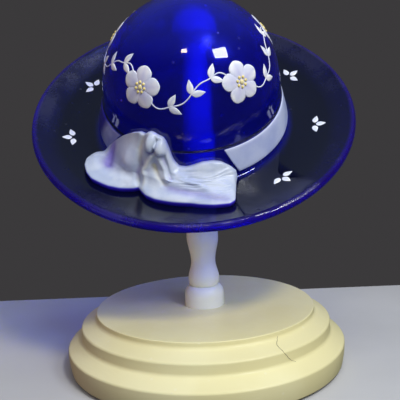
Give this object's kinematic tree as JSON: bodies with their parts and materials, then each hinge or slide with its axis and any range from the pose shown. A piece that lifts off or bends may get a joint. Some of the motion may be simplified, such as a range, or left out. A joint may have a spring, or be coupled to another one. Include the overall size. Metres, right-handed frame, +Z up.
{
  "type": "glass hat on a stand",
  "caption": "Pressed cobalt glass hat with a moulded band and bow, tipped on a turned and painted wooden stand; it turns on the stand and lifts off.",
  "frame": {"origin": "middle of the felt under the base, where the stand meets the table", "axes": "+Z up along the spindle, -Y towards the front that the hat is tipped to, +X to the right as seen from the front"},
  "size_m": [0.1778, 0.1567, 0.2021],
  "materials": {
    "base_paint": "satin cream paint on turned wood",
    "spindle_paint": "satin off-white paint on turned wood",
    "felt": "wool felt",
    "cap_felt": "natural white wool felt",
    "screw_steel": "zinc plated",
    "cobalt_glass": "clear polished cobalt glass",
    "pearl_enamel": "pearl white enamel fired on moulded glass"
  },
  "bodies": {
    "stand": {"base": "base_paint", "base_felt": "felt", "spindle": "spindle_paint", "spindle_screw": "screw_steel"},
    "cap": {"felt_cap": "cap_felt"},
    "hat": {"glass_hat": "cobalt_glass", "hat_band": "pearl_enamel", "bow": "pearl_enamel"}
  },
  "joints": [
    {"name": "hat_turn", "type": "hinge", "parent": "stand", "child": "cap", "pos_m": [0, 0, 0.1835], "axis": [0, 0, 1], "continuous": true},
    {"name": "hat_lift", "type": "slide", "parent": "cap", "child": "hat", "axis": [0, 0, 1], "range_m": [0, 0.12]}
  ]
}
